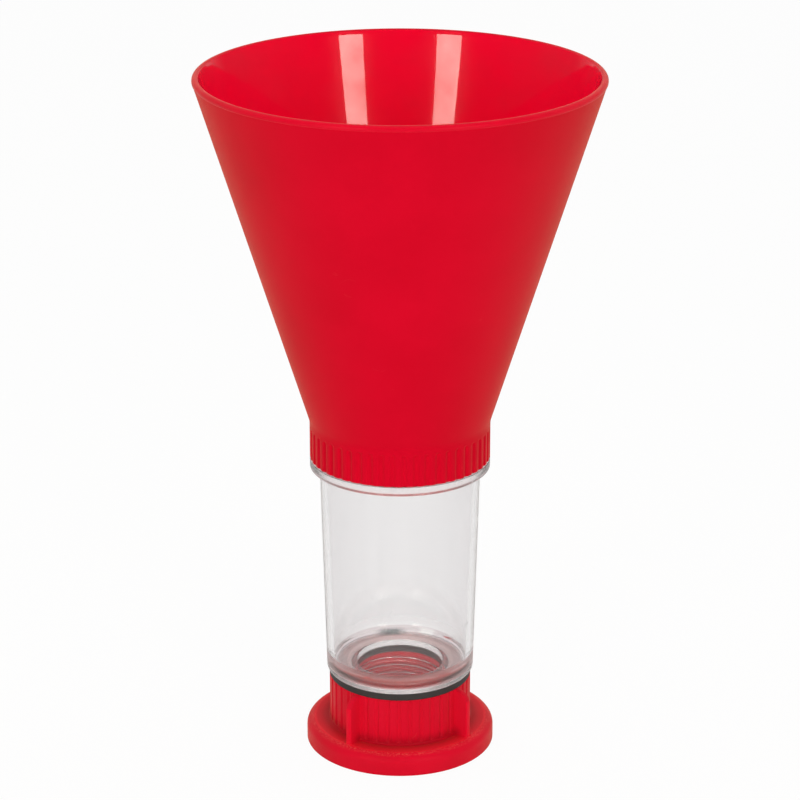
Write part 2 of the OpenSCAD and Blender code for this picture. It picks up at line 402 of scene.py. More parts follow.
grainGroup = buildGrain()
bandGroup = buildBand()
mottleGroup = buildMottle()
scuffGroup = buildScuffs()


# finishes

redPaint = {
    "deep": paint(209, 1, 35),
    "bright": paint(217, 2, 39),
    "footDeep": paint(214, 1, 38),
    "footBright": paint(224, 2, 43),
    # the inside's red is painted lighter than the outside's: painted light inside the cone
    "glossLitDeep": paint(246, 0, 49),
    "glossLitBright": paint(251, 1, 52),
    # pale colour of grain flecks, specks and scuffs, and of the painted highlight on the disc's rubbed edge
    "wearAndGlint": paint(236, 84, 78),
    # painted shade for the crease round the barrel's root
    "creaseShade": paint(130, 4, 16),
    # painted highlight for the fins' outer faces
    "finEdge": paint(242, 2, 46),
}
redBloom = {  # seen at a flat angle, red plastic is warmer and paler
    "roughness": 0.35,
    "tint": paint(255, 195, 145),
}
plasticIor = 1.49


def bandShare(tree, coordinates, band, place):
    # places the band mask, with its sizes in millimetres
    node = placeGroup(tree, bandGroup, place, coordinates, {
        "Radius": band["radius"] * mm, "Height": band["height"] * mm,
        "Half Height": band.get("half", 0) * mm, "Solid": band["solid"] * mm,
        "Reach": band["reach"] * mm, "Shade": band["shade"]})
    return node.outputs[0]


def nearPlace(tree, coordinates, spot, place):
    # a mask that is strongest at a place and fades out round it
    away = addNode(tree, "ShaderNodeVectorMath", place, {
        0: coordinates, 1: [value * mm for value in spot["place"]]}, operation="DISTANCE")
    fade = addNode(tree, "ShaderNodeMapRange", (place[0] + 200, place[1]), {
        "Value": away.outputs["Value"], "From Min": spot["solid"] * mm, "From Max": spot["reach"] * mm,
        "To Min": 1, "To Max": 0}, interpolation_type="SMOOTHSTEP")
    return fade.outputs[0]


def redSurface(look):
    return {"IOR": plasticIor, "Specular IOR Level": look["specular"], "Sheen Weight": look["sheen"],
            "Sheen Roughness": redBloom["roughness"], "Sheen Tint": redBloom["tint"]}


def grainedRed(name, look):
    material, tree, shader = newMaterial(name)
    coordinates = objectPlaces(tree)
    mottle = placeGroup(tree, mottleGroup, (-600, 250), coordinates, {"Cloud Size": look["cloudSize"]})
    grain = placeGroup(tree, grainGroup, (-600, -50), coordinates, {
        "Grain Size": look["grainSize"], "Speck Spacing": look["speckSpacing"]})
    scuffs = placeGroup(tree, scuffGroup, (-600, -350), coordinates, {"Cover": look["scuffCover"]})
    height = grain.outputs["Height"]
    body = mixColours(tree, (-300, 250), mottle.outputs[0], look["deep"], look["bright"])
    # flecks where the grain is far from its middle height, and marks from specks and scuffs
    flecks = maths(tree, "MULTIPLY_ADD", (-300, 50), height, look["grainShade"], -0.5 * look["grainShade"])
    flecks = maths(tree, "ABSOLUTE", (-150, 50), flecks)
    shaded = mixColours(tree, (-50, 250), flecks, body, redPaint["wearAndGlint"])
    scratched = maths(tree, "MULTIPLY", (-450, -300), scuffs.outputs[0], look["scuffShade"])
    marks = maths(tree, "MAXIMUM", (-300, -200), grain.outputs["Specks"], scratched)
    marks = maths(tree, "MULTIPLY", (-100, -200), marks, look["speckShade"])
    colour = mixColours(tree, (200, 250), marks, shaded, redPaint["wearAndGlint"])
    for index, band in enumerate(look["bands"]):
        place = 500 + 200 * index
        share = bandShare(tree, coordinates, band, (-300, place))
        if "broken" in band:  # only where the grain stands this high
            broken = maths(tree, "GREATER_THAN", (-100, place), height, band["broken"])
            share = maths(tree, "MULTIPLY", (100, place), share, broken)
        colour = mixColours(tree, (300, place), share, colour, band["paint"])
    smoothest = look["roughness"] - look["roughnessSpread"] / 2
    roughness = maths(tree, "MULTIPLY_ADD", (0, 0), height, look["roughnessSpread"], smoothest)
    feed(tree, shader, {
        **redSurface(look), "Base Color": colour, "Roughness": roughness,
        "Normal": bumpNormal(tree, height, look["grainDepth"])})
    return material


def glossRed(name, look):
    material, tree, shader = newMaterial(name)
    coordinates = objectPlaces(tree)
    mottle = placeGroup(tree, mottleGroup, (-600, 250), coordinates, {"Cloud Size": look["cloudSize"]})
    ripple = placeGroup(tree, mottleGroup, (-600, 0), coordinates, {
        "Cloud Size": look["rippleSize"], "Detail": 1})
    haze = placeGroup(tree, mottleGroup, (-600, -250), coordinates, {
        "Cloud Size": look["hazeSize"], "Detail": 5}).outputs[0]
    roughness = maths(tree, "MULTIPLY_ADD", (0, 0), haze, look["roughnessSpread"], look["roughness"])
    feed(tree, shader, {
        **redSurface(look), "Roughness": roughness,
        "Base Color": mixColours(tree, (0, 250), mottle.outputs[0], look["deep"], look["bright"]),
        "Normal": bumpNormal(tree, ripple.outputs[0], look["rippleDepth"])})
    if "coat" in look:
        uneven = maths(tree, "MULTIPLY_ADD", (0, -200), haze, look["coatSpread"], look["coat"])
        feed(tree, shader, {"Coat Weight": uneven, "Coat Roughness": look["coatRoughness"]})
    return material


def clearPlastic(name, look):
    material, tree, shader = newMaterial(name)
    coordinates = objectPlaces(tree)
    streaks = placeGroup(tree, mottleGroup, (-600, 250), coordinates, {
        "Cloud Size": look["streakSize"], "Stretch": (1, 1, look["streakStretch"])}).outputs[0]
    scuffs = placeGroup(tree, scuffGroup, (-600, -50), coordinates, {
        "Scratch Spacing": look["scratchSpacing"], "Patch Size": look["scuffPatch"],
        "Cover": look["scuffCover"]})
    colour = mixColours(tree, (0, 250), streaks, look["tint"], look["streakTint"])
    edge = addNode(tree, "ShaderNodeLayerWeight", (0, 450), {"Blend": look["edgeBlend"]})
    colour = mixColours(tree, (250, 250), edge.outputs["Facing"], colour, look["edgeTint"])
    # painted reflections: colour patches mixed in at fixed places
    for index, spot in enumerate(look["paintedReflections"]):
        level = -800 - 300 * index
        band = bandShare(tree, coordinates, spot["band"], (-1500, level))
        near = nearPlace(tree, coordinates, spot, (-300, level - 150))
        mask = maths(tree, "MULTIPLY", (0, level), band, near)
        colour = mixColours(tree, (250, level), mask, colour, spot["tint"])
    if "behindTint" in look:  # seen from inside the plastic, the band's painted red light hardly shows
        faces = addNode(tree, "ShaderNodeNewGeometry", (250, 650))
        colour = mixColours(tree, (450, 450), faces.outputs["Backfacing"], colour, look["behindTint"])
    roughness = maths(tree, "MULTIPLY_ADD", (0, 0), scuffs.outputs[0], look["scuffRoughness"],
                      look["roughness"])
    feed(tree, shader, {
        "Base Color": colour, "Roughness": roughness, "IOR": plasticIor,
        "Transmission Weight": look["transmission"], "Specular Tint": look["mirrorTint"],
        "Normal": bumpNormal(tree, streaks, look["streakDepth"])})
    # the lamps shine through clear plastic, a little dimmed
    passing = addNode(tree, "ShaderNodeBsdfTransparent", (500, -500), {"Color": look["shadowTint"]})
    path = addNode(tree, "ShaderNodeLightPath", (500, 400))
    mixIntoOutput(tree, path.outputs["Is Shadow Ray"], shader, passing)
    return material


def sealRubber(name, look):
    material, tree, shader = newMaterial(name)
    coordinates = objectPlaces(tree)
    mottle = placeGroup(tree, mottleGroup, (-600, 250), coordinates, {
        "Cloud Size": look["cloudSize"], "Detail": 5})
    grain = placeGroup(tree, grainGroup, (-600, -50), coordinates, {"Grain Size": look["grainSize"]})
    height = grain.outputs["Height"]
    roughness = maths(tree, "MULTIPLY_ADD", (0, 0), height, look["roughnessSpread"], look["roughness"])
    feed(tree, shader, {
        "Base Color": mixColours(tree, (0, 250), mottle.outputs[0], look["dark"], look["light"]),
        "Roughness": roughness, "Normal": bumpNormal(tree, height, look["grainDepth"])})
    return material


coneOutside = grainedRed("coneGrainedRed", {
    "deep": redPaint["deep"], "bright": redPaint["bright"], "bands": [],
    "cloudSize": 0.035, "grainSize": 0.0005, "grainShade": 0.09, "grainDepth": 0.00005,
    "speckSpacing": 0.012, "speckShade": 0.5, "scuffCover": 0.36, "scuffShade": 0.14,
    "roughness": 0.5, "roughnessSpread": 0.15, "specular": 0.02, "sheen": 0.38})
footOutside = grainedRed("footGrainedRed", {
    "deep": redPaint["footDeep"], "bright": redPaint["footBright"],
    "bands": [  # painted shade in the crease, a painted highlight on the fins, and a rubbed edge on the disc that is partly painted highlight
        # painted shade where the barrel meets the disc
        {"radius": 27.7, "height": 8.8, "solid": 0.1, "reach": 4.6, "shade": 0.5,
         "paint": redPaint["creaseShade"]},
        # painted highlight on the fins' outer faces
        {"radius": 33.2, "height": 16, "half": 7, "solid": 0.3, "reach": 0.9, "shade": 0.7,
         "paint": redPaint["finEdge"]},
        # the disc's rubbed edge: wear, and painted highlight where light grazes its rounding
        {"radius": 34, "height": 8.5, "solid": 0.2, "reach": 2, "shade": 0.8, "broken": 0.56,
         "paint": redPaint["wearAndGlint"]}],
    "cloudSize": 0.02, "grainSize": 0.00045, "grainShade": 0.14, "grainDepth": 0.00007,
    "speckSpacing": 0.009, "speckShade": 0.6, "scuffCover": 0.38, "scuffShade": 0.3,
    "roughness": 0.48, "roughnessSpread": 0.15, "specular": 0.09, "sheen": 0.3})
# the cone's inside, one moulding with its outside, painted lighter as painted light
coneInside = glossRed("coneGlossRed", {
    "deep": redPaint["glossLitDeep"], "bright": redPaint["glossLitBright"],
    "cloudSize": 0.025, "rippleSize": 0.03, "rippleDepth": 0.00008, "hazeSize": 0.012,
    "roughness": 0.16, "roughnessSpread": 0.08, "specular": 0.1, "sheen": 0,
    "coat": 0.6, "coatSpread": 0.8, "coatRoughness": 0.03})
coneRim = glossRed("coneRimRed", {
    "deep": redPaint["footDeep"], "bright": redPaint["footBright"],
    "cloudSize": 0.03, "rippleSize": 0.03, "rippleDepth": 0.00002, "hazeSize": 0.01,
    "roughness": 0.35, "roughnessSpread": 0.1, "specular": 0.08, "sheen": 0.35})

# the pinks and reds in the cup's tints and mirror tints are painted red light from the foot and cone, seen
# in and through the clear plastic
cupPlastic = {  # what the cup's finishes share, where they don't say otherwise
    "edgeBlend": 0.35,  # how soon the longer way through the wall shows
    "streakSize": 0.003,
    "streakStretch": 1,
    "streakDepth": 0.00001,
    "paintedReflections": [],
    "scratchSpacing": 0.006,
    "scuffPatch": 0.02,
    "scuffCover": 0.42,
    "scuffRoughness": 0.1,
    "mirrorTint": (1, 0.95, 0.95, 1),
    "shadowTint": (0.85, 0.85, 0.85, 1),
}
clearCup = clearPlastic("clearCupPlastic", {
    **cupPlastic, "roughness": 0.03, "transmission": 0.99, "mirrorTint": (1, 1, 1, 1),
    "tint": (0.92, 0.913, 0.915, 1), "streakTint": (0.9, 0.893, 0.895, 1), "edgeTint": (0.78, 0.76, 0.77, 1),
    "streakSize": 0.004, "streakStretch": 0.03, "streakDepth": 0.000006, "scuffRoughness": 0.2,
    "shadowTint": (0.9, 0.9, 0.9, 1)})
# the milky ring's pink is painted red light
milkyCup = clearPlastic("milkyCupPlastic", {
    **cupPlastic, "roughness": 0.26, "transmission": 0.86,
    "tint": (0.88, 0.81, 0.82, 1), "streakTint": (0.83, 0.74, 0.75, 1), "edgeTint": (0.96, 0.88, 0.89, 1)})
# the frosted band's red is painted red light from the foot, seen through the floor
frostBand = clearPlastic("frostBandPlastic", {
    **cupPlastic, "roughness": 0.3, "transmission": 1, "scuffCover": 0.3, "streakSize": 0.0008,
    "tint": (0.9, 0.42, 0.405, 1), "streakTint": (0.84, 0.36, 0.345, 1), "edgeTint": (1, 0.86, 0.86, 1),
    "behindTint": (0.97, 0.955, 0.955, 1)})
# the floor's pink is painted red light
floorCup = clearPlastic("floorCupPlastic", {
    **cupPlastic, "roughness": 0.12, "transmission": 0.98, "mirrorTint": (1, 1, 1, 1),
    "tint": (0.99, 0.88, 0.88, 1), "streakTint": (0.95, 0.82, 0.82, 1), "edgeTint": (0.97, 0.88, 0.88, 1),
    "scuffRoughness": 0.2})
# the fillet's dark mauve tint is painted shade and red light
filletCup = clearPlastic("filletCupPlastic", {
    **cupPlastic, "roughness": 0.14, "transmission": 0.97, "scuffRoughness": 0.2, "streakSize": 0.012,
    "tint": (0.78, 0.68, 0.69, 1), "streakTint": (0.6, 0.5, 0.52, 1), "edgeTint": (0.6, 0.5, 0.52, 1),
    "paintedReflections": [  # painted reflections on the fillet: a dark patch and a bright lamp glint
        {"place": (-16.5, 16.2, 33.4), "solid": 2, "reach": 8, "tint": (0.05, 0.06, 0.06, 1),
         "band": {"radius": 23.2, "height": 33.4, "solid": 1, "reach": 2.6, "shade": 1}},
        {"place": (-4.2, 24, 34.2), "solid": 2, "reach": 4.5, "tint": (1, 0.98, 0.95, 1),
         "band": {"radius": 24.4, "height": 34.2, "solid": 0.7, "reach": 2, "shade": 1}}]})
# the underside's pink is painted red light
frostedCup = clearPlastic("frostedCupPlastic", {
    **cupPlastic, "roughness": 0.4, "transmission": 0.97, "mirrorTint": (1, 1, 1, 1),
    "tint": (0.95, 0.82, 0.82, 1), "streakTint": (0.9, 0.76, 0.76, 1), "edgeTint": (0.94, 0.8, 0.8, 1),
    "streakSize": 0.0006, "streakDepth": 0.00005})

rubber = {
    "cloudSize": 0.01,
    "grainSize": 0.0004,
    "grainDepth": 0.00003,
    "roughness": 0.5,
    "roughnessSpread": 0.15,
}
gasketBlack = sealRubber("gasketRubber", {**rubber, "dark": paint(35, 33, 34), "light": paint(47, 45, 45)})
# painted red and pink light on the gasket's face, seen through the cup's floor
gasketRedLight = sealRubber("gasketPaintedRedRubber", {
    **rubber, "dark": paint(162, 66, 62), "light": paint(182, 82, 77)})
gasketPinkLight = sealRubber("gasketPaintedPinkRubber", {
    **rubber, "dark": paint(176, 130, 129), "light": paint(196, 150, 149)})
sealBlack = sealRubber("sealRubber", {**rubber, "dark": paint(34, 34, 35), "light": paint(50, 50, 50)})
print("finishes built")


# screw joints, in millimetres: the ridge of one thread lies in the root of the other

lowerThread = {"pitch": 3.3, "crestWidth": 0.9, "rootWidth": 1.9, "depth": 0.6, "fade": 1.6}
upperThread = {"pitch": 4, "crestWidth": 1.1, "rootWidth": 2.3, "depth": 0.9, "fade": 1.8}
neckThread = {"pitch": 3, "crestWidth": 0.8, "rootWidth": 1.8, "depth": 0.9, "fade": 1.5}


def outsideThread(thread, plainRadius, low, high):
    # half of the depth stands out from the plain radius, and half is cut into it
    return dict(thread, root=plainRadius - thread["depth"] / 2, height=thread["depth"], low=low, high=high,
                phase=0)


def insideThread(thread, plainRadius, low, high):
    return dict(thread, root=plainRadius + thread["depth"] / 2, height=-thread["depth"], low=low, high=high,
                phase=thread["pitch"] / 2)


# funnel cone, in millimetres

cone = {
    "collarRadius": 34.2,
    "collarHeight": 14.8,
    "collarRows": (4, 8),  # above the collar's mouth
    "collarEdge": 0.3,
    "mouthBevel": 0.5,
    "bevelRounds": (0.1, 0.12),
    "boreRadius": 31.2,
    "throatRadius": 26.5,
    "throatEdge": 0.3,
    "shoulderSlope": 25,  # degrees
    "shoulderEdge": 0.6,
    "shoulderFillet": 3,
    "seatFillet": 0.15,
    "seatStep": (0.1, 0.3),  # below the seal the bore widens to the thread's root
    "stepEdge": 0.05,
    "wall": 2.5,
    "outerRows": 14,
    "innerRows": 12,
    "rimRounding": 1.4,
    "rimSteps": 12,
    "innerEdge": 0.3,
    "innerSteps": 6,
    "lipHeight": 1.3,  # the inside opens a little more at its top
    "lipStep": 0.12,
    "lipBlend": (0.15, 0.4),  # share of the step, and its height above the lip's foot
    "bandHeight": 0.3,  # below the rim's rounding
    "bandStep": 0.15,
    "bandFoot": ((0.5, 0.02), (0.9, 0.07)),  # share of the step, and its height above the band's foot
    "bandRise": 0.2,
    "blend": 8,  # radius of the bend from the collar into the cone
    "grooves": 50,
    "grooveCutter": 1.4,
    "grooveDepth": 0.5,
    "grooveRunOut": 1,  # the grooves run out under the collar
    "grooveColumns": (0, 0.45, 0.8, 1.0, 1.2),  # from a groove's middle
    "grooveRows": (0, 0.3, 0.6, 0.8, 0.95, 1.08),  # over the groove's round end
    "grooveClear": 1.25,
    "plainBand": 1.8,
    "threadLow": 118.8,
    "threadHigh": 127.8,
}


coneGrained, coneGloss, coneBand = range(3)  # the cone's finishes
coneBend = collarLow + cone["collarHeight"]  # where the collar turns into the cone
rimCentre = Vector((rimRadius - cone["rimRounding"], coneTop - cone["rimRounding"]))


def findLean():
    # the cone's outside, moved out by the band's step, touches the rim's rounding
    across = rimCentre.x - cone["collarRadius"] - cone["bandStep"]
    up = rimCentre.y - coneBend
    return math.atan2(across, up) + math.asin(cone["rimRounding"] / math.hypot(across, up))


coneLean = findLean()
coneSkin = cone["wall"] / math.cos(coneLean)  # the wall, measured level
bandLow = rimCentre.y - cone["rimRounding"] * math.sin(coneLean) - cone["bandHeight"]
coneThread = insideThread(upperThread, cone["boreRadius"], cone["threadLow"], cone["threadHigh"])


def outerRadius(height):
    return cone["collarRadius"] + math.tan(coneLean) * (height - coneBend)


def coneOutsidePath(grooveHigh):
    # mouth of the collar, its wall with rows close together where the grooves end, and the cone
    root, collarRadius = coneThread["root"], cone["collarRadius"]
    bevelIn, bevelOut = cone["bevelRounds"]
    firstRow, secondRow = cone["collarRows"]
    mouth = cornerPath([
        (root, coneThread["low"], 0, coneGloss),
        (root, collarLow + cone["mouthBevel"], bevelIn, coneGloss),
        (root + cone["mouthBevel"], collarLow, bevelOut, coneGloss),
        (collarRadius, collarLow, cone["collarEdge"], coneGrained),
        (collarRadius, collarLow + firstRow, 0, coneGrained)])
    wall = [(collarRadius, collarLow + secondRow, coneGrained)]
    wall += [(collarRadius, grooveHigh + away, coneGrained) for away in cone["grooveRows"]]
    flare = cornerPath([
        (collarRadius, grooveHigh + cone["grooveClear"], 0, coneGrained),
        (collarRadius, coneBend, cone["blend"], coneGrained),
        (outerRadius(bandLow), bandLow, 0, coneBand)])
    slope = linePath(flare[-2], flare[-1], cone["outerRows"], coneGrained)
    return mouth + wall + flare[:-1] + slope + flare[-1:]


def coneRimPath():
    # a step up to the smooth band, the rim's rounding, and a small round on the inner edge
    leanDegrees = math.degrees(coneLean)
    inset = cone["rimRounding"] - cone["innerEdge"]
    innerTop = outerRadius(coneTop) - coneSkin
    offset = (rimCentre.x - innerTop + math.tan(coneLean) * (coneTop - rimCentre.y)) * math.cos(coneLean)
    meet = math.degrees(math.acos((cone["innerEdge"] - offset) / inset)) - leanDegrees
    small = rimCentre + inset * Vector((math.cos(math.radians(meet)), math.sin(math.radians(meet))))
    bandTop = bandLow + cone["bandRise"]
    rim = [(outerRadius(bandLow) + cone["bandStep"] * share, bandLow + above, coneBand)
           for share, above in cone["bandFoot"]]
    rim.append((outerRadius(bandTop) + cone["bandStep"], bandTop, coneBand))
    rim += arcPath(rimCentre, cone["rimRounding"], -leanDegrees, meet, cone["rimSteps"], coneBand)
    inner = arcPath(small, cone["innerEdge"], meet, 180 - leanDegrees, cone["innerSteps"], coneGloss)
    return rim + inner[1:]


def coneInsidePath(rimEnd):
    # the lip, the cone, the shoulder and the throat, down to the thread
    root, throatRadius = coneThread["root"], cone["throatRadius"]
    rise = math.tan(math.radians(cone["shoulderSlope"]))
    run = (cone["collarRadius"] - coneSkin - throatRadius) / (1 - rise * math.tan(coneLean))
    slopeTop = coneBend + rise * run
    lipLow = rimEnd - cone["lipHeight"]
    lipShare, lipRise = cone["lipBlend"]
    stepHigh, stepLow = cone["seatStep"]
    skin = coneSkin + cone["lipStep"]
    inside = cornerPath([
        (outerRadius(lipLow + lipRise) - skin + cone["lipStep"] * lipShare, lipLow + lipRise, 0, coneGloss),
        (outerRadius(lipLow) - skin, lipLow, 0, coneGloss),
        (outerRadius(slopeTop) - skin, slopeTop, cone["shoulderFillet"], coneGloss),
        (throatRadius, coneBend, cone["shoulderEdge"], coneGloss),
        (throatRadius, upperSealTop, cone["throatEdge"], coneGloss),
        (cone["boreRadius"], upperSealTop, cone["seatFillet"], coneGloss),
        (cone["boreRadius"], upperSealLow - stepHigh, cone["stepEdge"], coneGloss),
        (root, upperSealLow - stepLow, cone["stepEdge"], coneGloss),
        (root, coneThread["high"], 0, coneGloss)])
    slope = linePath(inside[1], inside[2], cone["innerRows"], coneGloss)
    return inside[:2] + slope + inside[2:]


def makeCone():
    grooveHigh = coneBend - cone["plainBand"] - cone["grooveCutter"]
    groove = {"count": cone["grooves"], "radius": cone["collarRadius"], "cutter": cone["grooveCutter"],
              "depth": cone["grooveDepth"], "low": collarLow - cone["grooveRunOut"], "high": grooveHigh}

    def place(index, radius, height, column):
        # the grooves are cut into the collar's wall, and run out through its lower edge
        if radius > cone["collarRadius"] - cone["grooveDepth"] and height < coneBend:
            radius -= grooveDepth(groove, column, height)
        return polar(column, radius, height)

    rim = coneRimPath()
    path = coneOutsidePath(grooveHigh) + rim + coneInsidePath(rim[-1][1])
    columns = groovedColumns(cone["grooves"], cone["collarRadius"], cone["grooveColumns"])
    mesh = bmesh.new()
    turnPath(mesh, path, columns, place)
    turnThread(mesh, coneThread, columns, coneGloss)
    finishMesh("coneMoulding", mesh, "funnel_cone", "cone",
               [coneOutside, coneInside, coneRim])


# clear sight cup, in millimetres

cup = {
    "tubeLowRadius": 28.3,
    "tubeHighRadius": 30.55,
    "tubeHeight": 84,
    "wall": 2.4,
    "floor": 2.8,
    "floorFillet": 4.2,
    "floorDraft": 0.2,  # the tube is a little narrower where the fillet starts
    "floorEdge": 1.1,
    "floorFrom": 1,  # the floor's own finish starts this far inside the fillet
    "hazeTop": 2.9,  # the mould has hazed the fillet up to here, and the fillet's finish also has painted shade and red light
    "frostFrom": 2.3,  # a frosted band on the outside of the cup's foot, carrying painted red light
    "frostTo": 8.3,
    "flange": 3.2,
    "flangeFillet": 0.25,
    "flangeLowEdge": 0.08,
    "flangeHighEdge": 0.15,
    "neckRadius": 30.9,
    "neckFillet": 0.3,
    "neckBend": 4,  # radius of the bend inside, where the tube's taper starts
    "neckEdge": 0.4,
    "neckThreadLow": 118.6,
    "neckThreadHigh": 127.4,
    "drainRadius": 16.5,
    "drainEdge": 0.8,
    "drainNeckRadius": 18.85,
    "drainNeckFillet": 0.25,
    "drainNeckEdge": 0.3,
    "drainStep": 0.4,  # over this height the neck narrows to the thread's root
    "stepEdge": 0.1,
    "drainThreadLow": 17.2,
    "drainThreadHigh": 27,
    "columns": 288,
}


def makeCup():
    clear, milky, frost, floor, fillet, frosted = range(6)  # the cup's finishes
    floorTop = gasketTop + cup["floor"]
    flangeLow = gasketTop + cup["tubeHeight"]
    flangeTop = flangeLow + cup["flange"]
    innerHigh = cup["tubeHighRadius"] - cup["wall"]
    innerLow = cup["tubeLowRadius"] - cup["wall"]
    lower = outsideThread(lowerThread, cup["drainNeckRadius"], cup["drainThreadLow"], cup["drainThreadHigh"])
    upper = outsideThread(upperThread, cup["neckRadius"], cup["neckThreadLow"], cup["neckThreadHigh"])
    frostLow, frostHigh = gasketTop + cup["frostFrom"], gasketTop + cup["frostTo"]

    def wallRadius(height):
        share = (height - gasketTop) / cup["tubeHeight"]
        return cup["tubeLowRadius"] + (cup["tubeHighRadius"] - cup["tubeLowRadius"]) * share

    outside = cornerPath([
        (lower["root"], lower["high"], 0, clear),
        (lower["root"], gasketLow, cup["stepEdge"], clear),
        (cup["drainNeckRadius"], gasketLow + cup["drainStep"], cup["stepEdge"], clear),
        (cup["drainNeckRadius"], gasketTop, cup["drainNeckFillet"], frosted),
        (cup["tubeLowRadius"], gasketTop, cup["floorEdge"], clear),
        (wallRadius(frostLow), frostLow, 0, frost),
        (wallRadius(frostHigh), frostHigh, 0, clear),
        (cup["tubeHighRadius"], flangeLow, cup["flangeFillet"], milky),
        (flangeRadius, flangeLow, cup["flangeLowEdge"], milky),
        (flangeRadius, flangeTop, cup["flangeHighEdge"], clear),
        (upper["root"], flangeTop, cup["neckFillet"], clear),
        (upper["root"], upper["low"], 0, clear)])
    inside = cornerPath([
        (upper["root"], upper["high"], 0, clear),
        (upper["root"], cupTop, cup["neckEdge"], clear),
        (innerHigh, cupTop, cup["neckEdge"], clear),
        (innerHigh, flangeLow, cup["neckBend"], clear),
        (innerLow - cup["floorDraft"], floorTop, cup["floorFillet"], fillet),
        (innerLow - cup["floorFillet"] - cup["floorFrom"], floorTop, 0, floor),
        (cup["drainRadius"], floorTop, cup["drainEdge"], clear),
        (cup["drainRadius"], neckLow, cup["drainNeckEdge"], clear),
        (lower["root"], neckLow, cup["neckEdge"], clear),
        (lower["root"], lower["low"], 0, clear)])
    for index, (radius, height, finish) in enumerate(inside):
        if finish == fillet and height > floorTop + cup["hazeTop"]:
            inside[index] = (radius, height, clear)
    columns = evenColumns(cup["columns"])
    mesh = bmesh.new()
    turnPath(mesh, outside, columns)
    turnPath(mesh, inside, columns)
    turnThread(mesh, lower, columns, clear)
    turnThread(mesh, upper, columns, clear)
    finishMesh("clearCup", mesh, "sight_cup", "cup",
               [clearCup, milkyCup, frostBand, floorCup, filletCup, frostedCup])


# foot, in millimetres

foot = {
    "wall": 2.4,
    "discHeight": 8.6,
    "discEdge": 3.5,
    "discRows": (-0.1, 0.6, 1.8),  # inwards from the disc's rounded edge
    "baseEdge": 0.3,
    "baseRow": 0.3,  # inside the base's edge
    "barrelRoot": 0.8,
    "barrelInner": 25,
    "barrelRows": (0.2, 0.45, 0.7, 0.93),  # shares of the barrel's plain height
    "moatFillet": 0.4,
    "moatEdge": 0.3,
    "tubeOuter": 21.55,
    "boreRadius": 19.15,
    "boreBevel": (0.4, 0.5),  # across and down
    "bevelRounds": (0.12, 0.1),
    "outletRadius": 15.5,
    "outletEdge": 0.4,
    "threadRunOut": (0.9, 0.8),  # plain bore under and over the cup's thread
    "socketRadius": 24,
    "socketChamfer": 0.8,
    "socketRound": 0.1,
    "socketRunOut": (1.2, 0.5),  # plain bore under and over the filler neck's thread
    "sealUndercut": 1,
    "sealFillet": 0.15,
    "grooves": 40,
    "grooveCutter": 1,
    "grooveDepth": 0.45,
    "grooveColumns": (-0.9, -0.72, -0.4, 0, 0.4, 0.72, 0.9),  # from a groove's middle
    "grooveRows": (0.92, 0.8, 0.65, 0.45, 0),  # under the centre of the groove's round end
    "finCount": 4,
    "finReach": 5.6,
    "finThickness": 2.4,
    "finCorner": 5.4,
    "finDrop": 0.3,
    "topHold": 0.02,  # the round of the barrel's top edge ends this far above the fins
    "finEdge": 0.35,
    "finFoot": 0.5,
    "finGap": (0.1, 0.07),  # a fin's line starts this far out from its foot, and this far down
    "finFillet": ((0.5, 0), (0.15, 0.13), (0, 0.5)),  # distance beside a fin, and the wall's swell there
    "finEdgeRow": (0.1, 0.3),  # distance in from a fin's side, and share of its edge's rounding there
    "finWiden": (3.8, 8),  # degrees from a fin's middle, where its columns turn into spokes
    "finRows": 6,
    "finPlain": 0.3,  # between the fin's foot and its first row
    "webCount": 12,
    "webRadius": 31.85,
    "webWiden": (2.5, 6),  # degrees from a web's middle
    "webLips": (0.5, 0.2),  # beside the hollow, where the mouth's path ends and where the hollow's own does
    "hollowFillet": 0.5,
    "hollowEdge": 0.15,
    "grooveRunOut": 5,  # the grooves run out over the top
    "finSteps": (3, 10),  # points round a fin's foot, and round its corner
    "rootSteps": 6,
    "rootLead": 0.2,  # the disc's last row ends this far before the root's fillet
    "sideSteps": (5, 3, 9),  # points round the disc's lower edge, up its side and round its upper edge
    "topShift": (0.3, 0.5),  # share of a line's shift that is left at its top, outward and downward
    "wallStart": 0.5,  # the path over the top starts this far below the fins' tops
    "angleDigits": 9,  # columns that stand at the same angle sort by their order
    "sameRadius": 0.000001,
}


def pointsOf(path):
    return [(radius, height) for radius, height, finish in path]


def finLine(inset):
    # outer line of a fin, from the disc's edge up over its rounded corner to the barrel
    reach = barrelRadius + foot["finReach"]
    top = footTop - foot["finDrop"]
    disc, corner, root = foot["discHeight"], foot["finCorner"], foot["finFoot"]
    gap, sink = foot["finGap"]
    rootSteps, cornerSteps = foot["finSteps"]
    low = disc + root + foot["finPlain"]
    points = [(reach + root + gap, disc - sink)]
    points += pointsOf(arcPath((reach + root, disc + root), root + inset, 270, 180, rootSteps, 0))
    for step in range(foot["finRows"]):
        points.append((reach - inset, low + (top - corner - low) * step / foot["finRows"]))
    points += pointsOf(arcPath((reach - corner, top - corner), corner - inset, 0, 90, cornerSteps, 0))
    return points + [(barrelRadius, top - inset * foot["topShift"][1])]


